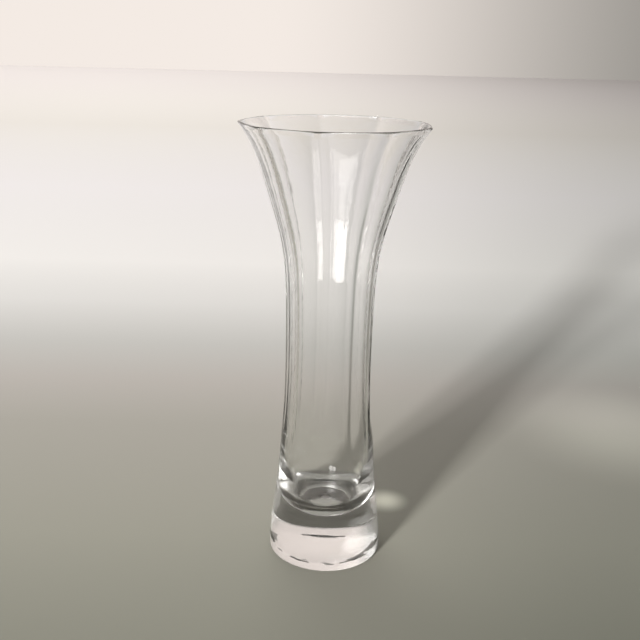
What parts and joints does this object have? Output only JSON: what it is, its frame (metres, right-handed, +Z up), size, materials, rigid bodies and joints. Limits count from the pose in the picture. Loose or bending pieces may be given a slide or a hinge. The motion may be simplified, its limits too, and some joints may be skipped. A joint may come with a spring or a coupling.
{
  "type": "bud vase",
  "caption": "Clear glass bud vase: a slim panelled trumpet bowl with a thin flared lip, fused to a heavy solid glass foot.",
  "frame": {"origin": "centre of the underside, on the plane that the bearing ring rests on", "axes": "+Z up along the vase's axis, -Y towards the viewer's front, +X to the viewer's right"},
  "size_m": [0.0815, 0.0818, 0.2],
  "materials": {
    "bowl_glass": "fire-polished clear glass, faint grey-green tint in the thick parts",
    "foot_glass": "polished clear glass, thick enough to show a faint grey-green tint"
  },
  "bodies": {
    "root": {"panelled_bowl": "bowl_glass", "solid_foot": "foot_glass"}
  },
  "joints": []
}
